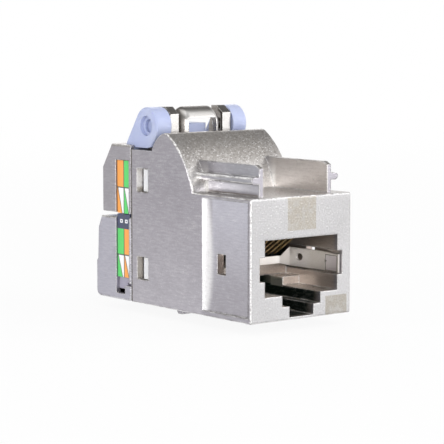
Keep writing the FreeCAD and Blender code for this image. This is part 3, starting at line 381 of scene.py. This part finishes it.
# Places are painted one over another, in their order. A place's colour turns into its top colour,
# if it has one, between two heights
def paintPlaces(tree, measures, colour, places):
    for place in places.values():
        paint = place["colour"]
        if "top" in place:
            way = place.get("way", "SMOOTHSTEP")
            height = spread(tree, measures["up"], *place["heights"], way=way)
            paint = mixColour(tree, height, paint, place["top"])
        mask = placeMask(tree, measures, place)
        colour = mixColour(tree, mask, colour, paint, place.get("blend", "MIX"))
    return colour


# Metals. colour = base, or top where it faces up (a painted tone for how light falls on up-facing
# faces), then its places, darkened and lightened by grain and cloud, with painted glints and dark
# specks where it faces up, a painted highlight on edges and a painted shade beside them. Lengths
# are in mm
metalUsual = {"rises": (0.12, 0.6), "metallic": 1.0, "corner": 0.0}
metals = {
    "castNickel": {
        "base": (0.366, 0.350, 0.385), "top": (0.42, 0.392, 0.368), "dark": (0.13, 0.115, 0.105),
        "edge": (0.90, 0.89, 0.88), "metallic": 0.8, "rough": 0.31, "size": 0.21, "streaks": 0.55,
        "pits": 0.35, "grain": 0.22, "cloud": 0.05, "sparkle": 1.0, "bump": 0.026, "width": 0.26,
        "corner": 1.0},
    "jawNickel": {
        "base": (0.36, 0.346, 0.37), "top": (0.36, 0.335, 0.31), "dark": (0.13, 0.115, 0.105),
        "edge": (0.88, 0.87, 0.86), "metallic": 0.8, "rough": 0.36, "size": 0.17, "streaks": 0.6,
        "pits": 0.25, "grain": 0.16, "cloud": 0.06, "sparkle": 0.6, "bump": 0.020, "width": 0.20,
        "corner": 0.35},
    "clipSteel": {
        "base": (0.84, 0.80, 0.75), "top": (0.80, 0.76, 0.70), "dark": (0.45, 0.40, 0.36),
        "edge": (0.95, 0.94, 0.92), "metallic": 0.85, "rough": 0.34, "size": 0.09, "streaks": 0.9,
        "pits": 0.05, "grain": 0.12, "cloud": 0.08, "sparkle": 0.1, "bump": 0.005, "width": 0.07},
    # its top colour, dark brown where it faces up, is painted shade
    "yokeSteel": {
        "base": (0.74, 0.72, 0.70), "top": (0.22, 0.20, 0.185), "dark": (0.16, 0.14, 0.125),
        "edge": (0.92, 0.91, 0.89), "rises": (0.62, 0.90), "metallic": 0.9, "rough": 0.30,
        "size": 0.13, "streaks": 0.75, "pits": 0.1, "grain": 0.16, "cloud": 0.08, "sparkle": 0.25,
        "bump": 0.008, "width": 0.18},
    "pinSteel": {
        "base": (0.60, 0.60, 0.60), "top": (0.60, 0.60, 0.60), "dark": (0.33, 0.32, 0.31),
        "edge": (0.88, 0.88, 0.88), "rough": 0.25, "size": 0.08, "streaks": 0.8, "pits": 0.1,
        "grain": 0.14, "cloud": 0.05, "sparkle": 0.1, "bump": 0.004, "width": 0.05},
    "contactGold": {
        "base": (0.86, 0.60, 0.27), "top": (0.86, 0.60, 0.27), "dark": (0.50, 0.30, 0.11),
        "edge": (0.96, 0.77, 0.45), "rough": 0.24, "size": 0.07, "streaks": 0.85, "pits": 0.05,
        "grain": 0.16, "cloud": 0.08, "sparkle": 0.0, "bump": 0.003, "width": 0.04},
    "bladeTin": {
        "base": (0.64, 0.64, 0.63), "top": (0.62, 0.61, 0.59), "dark": (0.38, 0.37, 0.36),
        "edge": (0.90, 0.90, 0.89), "rough": 0.33, "size": 0.10, "streaks": 0.6, "pits": 0.15,
        "grain": 0.16, "cloud": 0.10, "sparkle": 0.1, "bump": 0.005, "width": 0.05},
}

# Painted highlights and shades, with their roughness and metallic, the same on every metal: glints
# and dark specks, a highlight on edges and rounded corners, a dark fringe beside edges and a shade
# at the seam. A pair is the grain's share and the level it is added to. The last four are masks:
# corner where normals lean between two sides, less backward (walls near the front that face back),
# lip around the front face, and seam on the last sliver of the body's sides
sheenAndShade = {
    "gain": 5.0, "topGrain": 0.8, "darkSpecks": 0.55, "glint": 0.8, "edgeSheen": (1.6, 0.75),
    "fringe": (-1.2, 0.5), "seamGrain": (1.2, 0.95), "roughGrain": -0.06, "polish": -0.10,
    "dull": -0.45,
    "corner": {"bands": (("sideways", 0.3, 0.9, 0.06),)},
    "backward": {"ramps": (("rearward", 0.1, 0.2), ("back", 1.2, 1.4, 1.0, 0.0))},
    "lip": {"bands": (("endways", 0.3, 0.9, 0.06),), "ramps": (("back", 0.3, 0.4, 1.0, 0.0),)},
    "seam": {"bands": (("back", 24.10, 24.4, 0.03),), "ramps": (("side", 7.9, 8.0),)},
}


# where the painted edge highlight also goes: rounded corners and the lip around the front face
def cornerMask(tree, measures):
    corner, backward, lip = (placeMask(tree, measures, sheenAndShade[name])
                             for name in ("corner", "backward", "lip"))
    return greatest(tree, calc(tree, "SUBTRACT", corner, backward, clamp=True), lip)


def makeMetal(name, places=None):
    kind = {**metalUsual, **metals[name]}
    material, tree, shader = newMaterial(name)
    measures = measure(tree)
    grain = useGroup(tree, grainGroup, {"Vector": measures["where"], "Size": kind["size"],
                                        "Streaks": kind["streaks"], "Pits": kind["pits"]})
    edge = useGroup(tree, edgeGroup, {"Width": kind["width"] * mm, "Gain": sheenAndShade["gain"]})
    above = spread(tree, measures["upward"], *kind["rises"])
    depth = scaled(tree, above, kind["grain"] * kind["sparkle"] * sheenAndShade["topGrain"], kind["grain"])
    shade = calc(tree, "ADD", product(tree, grain["Tone"], depth),
                 product(tree, grain["Cloud"], kind["cloud"]))
    # painted sparkle where it faces up: bright glints and dark specks
    glitter = product(tree, grain["Speck"], product(tree, above, kind["sparkle"]))
    glint = calc(tree, "MAXIMUM", glitter, 0.0)
    darker = scaled(tree, glitter, sheenAndShade["darkSpecks"], shade)
    darker = calc(tree, "MULTIPLY", darker, -1.0, clamp=True)
    lighter = calc(tree, "MAXIMUM", shade, 0.0)
    # painted tone for how light falls: the top colour on up-facing faces
    colour = mixColour(tree, above, kind["base"], kind["top"])
    colour = paintPlaces(tree, measures, colour, places or {})
    colour = mixColour(tree, darker, colour, kind["dark"])
    colour = mixColour(tree, lighter, colour, kind["edge"])
    colour = mixColour(tree, product(tree, glint, sheenAndShade["glint"]), colour, kind["edge"])
    ridge = edge["Edge"]
    if kind["corner"]:      # rounded corners get the painted edge highlight as sharp edges do
        ridge = greatest(tree, ridge, product(tree, cornerMask(tree, measures), kind["corner"]))
    # painted highlight on edges and rounded corners, broken by grain; it also lowers roughness and
    # metallic there
    edgeSheen = calc(tree, "MULTIPLY", ridge, scaled(tree, grain["Tone"], *sheenAndShade["edgeSheen"]), clamp=True)
    # painted shade: a faint dark belt beside the edges
    fringe = scaled(tree, grain["Tone"], *sheenAndShade["fringe"])
    fringe = calc(tree, "MULTIPLY", edge["Fringe"], fringe, clamp=True)
    colour = mixColour(tree, fringe, colour, kind["dark"])
    colour = mixColour(tree, edgeSheen, colour, kind["edge"])
    # painted shade on the last sliver of the body's sides before the seam
    if kind["corner"]:
        seam = product(tree, placeMask(tree, measures, sheenAndShade["seam"]), kind["corner"],
                       scaled(tree, grain["Tone"], *sheenAndShade["seamGrain"], clamp=True))
        colour = mixColour(tree, seam, colour, kind["dark"])
    rough = scaled(tree, grain["Tone"], sheenAndShade["roughGrain"], kind["rough"])
    rough = scaled(tree, greatest(tree, edgeSheen, glint), sheenAndShade["polish"], rough)
    bump = bumped(tree, grain["Height"], kind["bump"], {"Normal": edge["Normal"]})
    linkSurface(tree, shader, colour, rough, bump)
    tree.links.new(scaled(tree, edgeSheen, sheenAndShade["dull"], kind["metallic"]), shader.inputs["Metallic"])
    return material


# Body: what its metal looks like from place to place
frontOnly = ("back", 0.05, 0.2, 1.0, 0.0)
reliefOnly = ("side", 7.6, 7.7)
railOuter = ("side", 5.6, 5.75)
bodyPlaces = {
    # painted light and shade: paler towards the sole, on the front face and on the sides behind the
    # relief
    "front": {
        "colour": (0.51, 0.503, 0.51), "top": (0.425, 0.418, 0.424), "heights": (1.0, 12.0),
        "ramps": (frontOnly,)},
    "flank": {
        "colour": (1.19, 1.19, 1.18), "top": (0.90, 0.89, 0.89), "heights": (0.0, 17.0),
        "way": "LINEAR", "blend": "MULTIPLY", "ramps": (("side", 7.95, 8.05), ("back", 9.5, 9.6))},
    # two bare beige patches on the front face
    "patches": {
        "colour": (0.33, 0.30, 0.25), "share": 0.8, "ramps": (frontOnly,),
        "parts": ({"bands": (("across", -2.3, 2.3), ("up", 10.97, 15.6))},
                  {"bands": (("across", 3.9, 7.45), ("up", -0.4, 2.45))}),
        "broken": {"scale": 1.1, "detail": 3.0, "ramp": (0.25, 0.6, 0.55, 1.0)}},
    # browner walls in the port, a painted reflection, and lighter and warmer metal in the channel
    # between the rails
    "inside": {
        "colour": (0.52, 0.45, 0.395), "share": 0.85, "ramps": (("back", 0.1, 1.2),),
        "bands": (("across", -6.9, 6.9), ("up", 0.2, 12.3))},
    "channel": {
        "colour": (0.61, 0.57, 0.545), "bands": (("across", -5.25, 5.25, 0.04),),
        "ramps": (("up", shelf - 0.1, shelf - 0.02), ("back", 11.3, 13.2, 1.0, 0.0))},
    # painted shade: the port's lower steps, and all of it behind the plug's stop, are nearly black
    "hollow": {
        "colour": (0.022, 0.036, 0.028), "bands": (("across", -7.0, 7.0),),
        "ramps": (("up", 0.2, 0.3),),
        "parts": ({"ramps": (("up", 3.06, 3.10, 1.0, 0.0), ("back", 0.12, 1.6))},
                  {"ramps": (("back", 9.0, 11.5), ("up", 8.0, 10.0, 1.0, 0.0))})},
    # rails, painted light and shade: darker and bluer above the rib and towards the front, pale
    # below it (a painted highlight), brown at its foot (a painted shadow)
    "railSide": {
        "colour": (0.33, 0.33, 0.36),
        "ramps": (railOuter, ("back", 1.22, 1.3), ("back", 5.0, 9.5, 0.85, 0.1),
                  ("up", shelf, shelf + 0.1), ("up", shelf + 0.1, shelf + 2.5, 0.35, 1.0))},
    "railFoot": {
        "colour": (0.74, 0.72, 0.77), "ramps": (railOuter, ("back", 2.0, 7.0, 0.25, 0.85)),
        "bands": (("up", shelf + 0.55, shelf + 1.35, 0.2), ("back", 1.4, 11.4, 0.1))},
    "railLine": {
        "colour": (0.16, 0.13, 0.11), "share": 0.7, "ramps": (railOuter,),
        "bands": (("up", shelf + 0.02, shelf + 0.3, 0.06), ("back", 1.4, 11.4, 0.1))},
    # the side slot's walls are brown with painted shade, and the block that stops the plug has
    # painted light, brighter than the walls
    "slot": {
        "colour": (0.40, 0.33, 0.295),
        "bands": (("back", 5.1, 6.95, 0.02), ("up", 5.35, 8.05, 0.02), ("side", 6.6, 7.72, 0.02))},
    "stop": {
        "colour": (0.80, 0.725, 0.67),
        "bands": (("back", 7.2, 9.6), ("up", 2.9, 4.3), ("across", -7.0, 7.0))},
    # side relief: its ramp has a bright painted highlight, with a front limit that bows forward at
    # mid height, and its flat a paler, bluer painted sheen towards its top
    "ramp": {
        "colour": (0.75, 0.74, 0.745), "bands": (("up", 0.75, 14.7, 0.2),),
        "ramps": (reliefOnly, ("back", 9.4, 9.5, 1.0, 0.0)),
        "bow": {"middle": 7.7, "half": 7.0, "depth": 0.9, "ramp": (7.1, 8.3, 0.0, 0.9)}},
    "flat": {
        "colour": (0.52, 0.515, 0.58), "bands": (("back", 0.7, 7.8, 0.3),),
        "ramps": (reliefOnly, ("up", 2.0, 14.6, 0.0, 0.75), ("up", 14.65, 14.75, 1.0, 0.0))},
    # painted shade: a ragged dark line borders the relief under the shelf, above the sole and at
    # the front corner
    "border": {
        "colour": (0.10, 0.085, 0.075), "ramps": (reliefOnly,),
        "parts": ({"bands": (("up", 14.62, 14.82, 0.05), ("back", 0.5, 5.5, 0.6))},
                  {"bands": (("up", 0.6, 0.8, 0.05), ("back", 0.5, 5.5, 0.6))},
                  {"bands": (("back", 0.32, 0.62, 0.06), ("up", 0.5, 14.8, 0.1))}),
        "broken": {"scale": 4.5, "detail": 2.0, "ramp": (0.42, 0.58, 0.0, 0.6)}},
    # paler walls where the side is cut through for the lugs, and a bright painted light on the foot
    # under the hump
    "window": {
        "colour": (0.54, 0.505, 0.455), "bands": (("back", 20.5, 23.2), ("side", 6.5, 8.06)),
        "ramps": (("up", 18.0, 18.2, 1.0, 0.0),)},
    "foot": {
        "colour": (0.88, 0.86, 0.84), "bands": (("across", -8.05, 8.05, 0.03),),
        "ramps": (("back", 10.8, 11.4), ("up", shelf - 0.1, shelf),
                  ("up", shelf + 0.6, shelf + 4.6, 1.0, 0.0))},
}

# Clip: a dull lilac tab at the front with a dark outline of painted shadow, and a bright painted
# highlight on the folds at the rear
clipPlaces = {
    "outline": {
        "colour": (0.05, 0.04, 0.035), "share": 0.75,
        "bands": (("back", 0.62, 2.82, 0.02), ("up", 5.17, 7.24, 0.02))},
    "tab": {
        "colour": (0.76, 0.72, 0.735),
        "bands": (("back", 0.72, 2.7, 0.02), ("up", 5.27, 7.14, 0.02))},
    "folds": {"colour": (0.95, 0.93, 0.91), "ramps": (("back", 4.5, 5.9, 0.0, 0.95),)},
}

# Jaws: the lower one is a little paler and bluer than the upper one
jawPlaces = {
    "both": {
        "colour": (1.16, 1.18, 1.26), "top": (0.93, 0.92, 0.93), "heights": (11.22, 11.26),
        "blend": "MULTIPLY"},
}

# Yoke: the cheeks, outside the arch, are darker than it, and every side and rear face is brown with
# painted shade
yokePlaces = {
    "cheeks": {
        "colour": (0.66, 0.66, 0.66), "blend": "MULTIPLY", "ramps": (("side", 3.35, 3.45),)},
    "sides": {
        "colour": (0.20, 0.175, 0.155), "share": 0.8,
        "parts": ({"ramps": (("sideways", 0.3, 0.7),)}, {"ramps": (("rearward", -0.1, 0.2),)})},
}


# Mouldings. colour = base with a soft cloud, then its places; the mould's fine spark texture is in
# roughness and bump. Lengths are in mm, inner is the share of light that goes through the skin
mouldings = {
    "holderLilac": {
        "base": (0.455, 0.50, 0.68), "dark": (0.36, 0.41, 0.65), "rough": 0.42, "size": 0.11,
        "width": 0.12, "inner": 0.18},
    "blockWhite": {
        "base": (0.78, 0.78, 0.80), "dark": (0.68, 0.68, 0.70), "rough": 0.45, "size": 0.12,
        "width": 0.10, "inner": 0.10},
    "insertBlack": {
        "base": (0.022, 0.020, 0.019), "dark": (0.012, 0.011, 0.010), "rough": 0.38, "size": 0.10,
        "width": 0.08, "inner": 0.0},
}
mouldSkin = {
    "pits": 0.2, "gain": 4.0, "cloud": (0.35, 0.35), "roughGrain": 0.07, "polish": -0.1,
    "bump": 0.008, "innerRadius": (1.1, 1.2, 1.6), "innerScale": 0.6,
}
# the lower holder is greyer below its colour plate
holderPlaces = {"foot": {"colour": (0.36, 0.34, 0.42), "ramps": (("up", 3.35, 3.4, 1.0, 0.0),)}}


def makeMoulding(name, places=None):
    kind, skin = mouldings[name], mouldSkin
    material, tree, shader = newMaterial(name)
    measures = measure(tree)
    grain = useGroup(tree, grainGroup, {"Vector": measures["where"], "Size": kind["size"],
                                        "Streaks": 0.0, "Pits": skin["pits"]})
    edge = useGroup(tree, edgeGroup, {"Width": kind["width"] * mm, "Gain": skin["gain"]})
    cloud = scaled(tree, grain["Cloud"], *skin["cloud"], clamp=True)
    colour = mixColour(tree, cloud, kind["base"], kind["dark"])
    colour = paintPlaces(tree, measures, colour, places or {})
    rough = scaled(tree, grain["Tone"], skin["roughGrain"], kind["rough"])
    rough = scaled(tree, edge["Edge"], skin["polish"], rough)
    bump = bumped(tree, grain["Height"], skin["bump"], {"Normal": edge["Normal"]})
    linkSurface(tree, shader, colour, rough, bump)
    if kind["inner"]:
        radius = [length * mm for length in skin["innerRadius"]]
        shader.inputs["Subsurface Weight"].default_value = kind["inner"]
        shader.inputs["Subsurface Radius"].default_value = radius
        shader.inputs["Subsurface Scale"].default_value = skin["innerScale"]
    return material


# Circuit board: solder mask over copper tracks, bare fibre at the edges
board = {
    "mask": (0.008, 0.085, 0.040), "track": (0.020, 0.15, 0.065), "fibre": (0.38, 0.36, 0.20),
    "cells": 0.45, "pitch": 7.0, "trackEdge": (0.25, 0.45), "rim": (0.4, 0.7), "size": 0.1,
    "pits": 0.1, "rough": (0.06, 0.30), "relief": 0.1, "bump": 0.03,
}


def makeBoard():
    material, tree, shader = newMaterial("boardGreen")
    measures = measure(tree)
    where = measures["where"]
    # tracks = a square wave of slanted lines, broken into runs by cells
    cell = addNode(tree, "ShaderNodeTexVoronoi", {"Vector": where, "Scale": board["cells"]},
                   distance="MANHATTAN")
    run = calc(tree, "ROUND", cell.outputs["Distance"])
    slant = product(tree, run, measures["level"])
    turned = calc(tree, "ADD", measures["across"], slant)
    wave = calc(tree, "SINE", product(tree, turned, board["pitch"]))
    track = spread(tree, wave, *board["trackEdge"])
    colour = mixColour(tree, track, board["mask"], board["track"])
    rim = spread(tree, measures["endways"], *board["rim"], 1.0, 0.0)
    colour = mixColour(tree, rim, colour, board["fibre"])
    grain = useGroup(tree, grainGroup, {"Vector": where, "Size": board["size"], "Streaks": 0.0,
                                        "Pits": board["pits"]})
    rough = scaled(tree, grain["Tone"], *board["rough"])
    bump = bumped(tree, scaled(tree, grain["Height"], board["relief"], track), board["bump"])
    linkSurface(tree, shader, colour, rough, bump)
    return material


# Colour plates: solid cells, cells with a slanted wedge, and a dark band between the jaws. split
# and rear are lengths along the socket, a wedge's or the band's pair is its foot and its top
card = {
    "orange": (0.93, 0.36, 0.06), "green": (0.085, 0.62, 0.13), "white": (0.93, 0.93, 0.95),
    "band": (0.035, 0.045, 0.105), "line": (0.05, 0.06, 0.05), "split": 26.27, "rear": 27.70,
    "upperWedge": (11.30, 14.80), "lowerWedge": (3.0, 5.94), "bandHeights": (9.37, 11.36),
    "wedgeWidths": (1.1, 0.12), "lineHalf": 0.085, "lineShare": 0.9, "rimShare": 0.8,
    "crisp": 0.01, "soft": 0.02, "tint": (0.04, 0.02), "rough": (0.08, 0.42),
    "size": 0.1, "pits": 0.1, "bump": 0.006,
}
# two small hollow squares on the band: their middles along the socket, half widths and heights
cardMarks = {
    "middles": (25.75, 26.85), "square": (0.28, (10.15, 10.62)), "hole": (0.12, (10.28, 10.49)),
    "soft": 0.03,
}


# wedge: the inked width of a cell, from its rear edge, grows from its top to its foot. gap is a
# point's own distance from that edge
def paintWedge(tree, up, gap, colour, heights, pair):
    width = spread(tree, up, *heights, *card["wedgeWidths"], "LINEAR")
    inside = calc(tree, "SUBTRACT", width, gap)
    wedge = mixColour(tree, spread(tree, inside, -card["soft"], card["soft"]), card["white"], pair)
    rim = around(tree, inside, 0.0, card["lineHalf"], card["soft"])
    wedge = mixColour(tree, product(tree, rim, card["rimShare"]), wedge, card["line"])
    return mixColour(tree, between(tree, up, *heights, card["crisp"]), colour, wedge)


def makeCard():
    material, tree, shader = newMaterial("colourCard")
    measures = measure(tree)
    where, along, up = measures["where"], measures["back"], measures["up"]
    crisp = card["crisp"]
    rear = spread(tree, along, card["split"] - crisp, card["split"] + crisp)
    upperPair = mixColour(tree, rear, card["green"], card["orange"])
    lowerPair = mixColour(tree, rear, card["orange"], card["green"])
    bandFoot = card["bandHeights"][0]
    below = spread(tree, up, bandFoot - crisp, bandFoot + crisp, 1.0, 0.0)
    colour = mixColour(tree, below, upperPair, lowerPair)
    gap = calc(tree, "SUBTRACT", mixValue(tree, rear, card["split"], card["rear"]), along)
    for heights, pair in ((card["upperWedge"], upperPair), (card["lowerWedge"], lowerPair)):
        colour = paintWedge(tree, up, gap, colour, heights, pair)
    colour = mixColour(tree, between(tree, up, *card["bandHeights"], crisp), colour, card["band"])
    for middle in cardMarks["middles"]:
        square, hole = (product(tree, around(tree, along, middle, half, cardMarks["soft"]),
                                between(tree, up, *heights, cardMarks["soft"]))
                        for half, heights in (cardMarks["square"], cardMarks["hole"]))
        mark = calc(tree, "SUBTRACT", square, hole, clamp=True)
        colour = mixColour(tree, mark, colour, card["white"])
    lines = ((along, card["split"]), (up, card["upperWedge"][1]), (up, card["lowerWedge"][1]))
    for length, middle in lines:
        line = around(tree, length, middle, card["lineHalf"], card["soft"])
        colour = mixColour(tree, product(tree, line, card["lineShare"]), colour, card["line"])
    grain = useGroup(tree, grainGroup, {"Vector": where, "Size": card["size"], "Streaks": 0.0,
                                        "Pits": card["pits"]})
    tint = scaled(tree, grain["Tone"], *card["tint"], clamp=True)
    colour = mixColour(tree, tint, colour, card["white"])
    rough = scaled(tree, grain["Tone"], *card["rough"])
    linkSurface(tree, shader, colour, rough, bumped(tree, grain["Height"], card["bump"]))
    return material


# each material stands by a word that its pieces' names have and no others do
def dressNodes():
    finish = {
        "jack_body": makeMetal("castNickel", bodyPlaces), "jaw": makeMetal("jawNickel", jawPlaces),
        "jack_contact": makeMetal("contactGold"), "idc": makeMetal("bladeTin"),
        "clip": makeMetal("clipSteel", clipPlaces), "yoke": makeMetal("yokeSteel", yokePlaces),
        "pin": makeMetal("pinSteel"), "holder": makeMoulding("holderLilac", holderPlaces),
        "block": makeMoulding("blockWhite"), "carrier": makeMoulding("insertBlack"),
        "board": makeBoard(), "label": makeCard(),
    }
    for name, node in nodes.items():
        node.data.materials.clear()
        node.data.materials.append(next(finish[word] for word in finish if word in name))
    print("materials:", len(finish))


makeCamera(cameraView)
makeLamps()
makeSurround()
makeFloor()
print("studio made")
dressNodes()
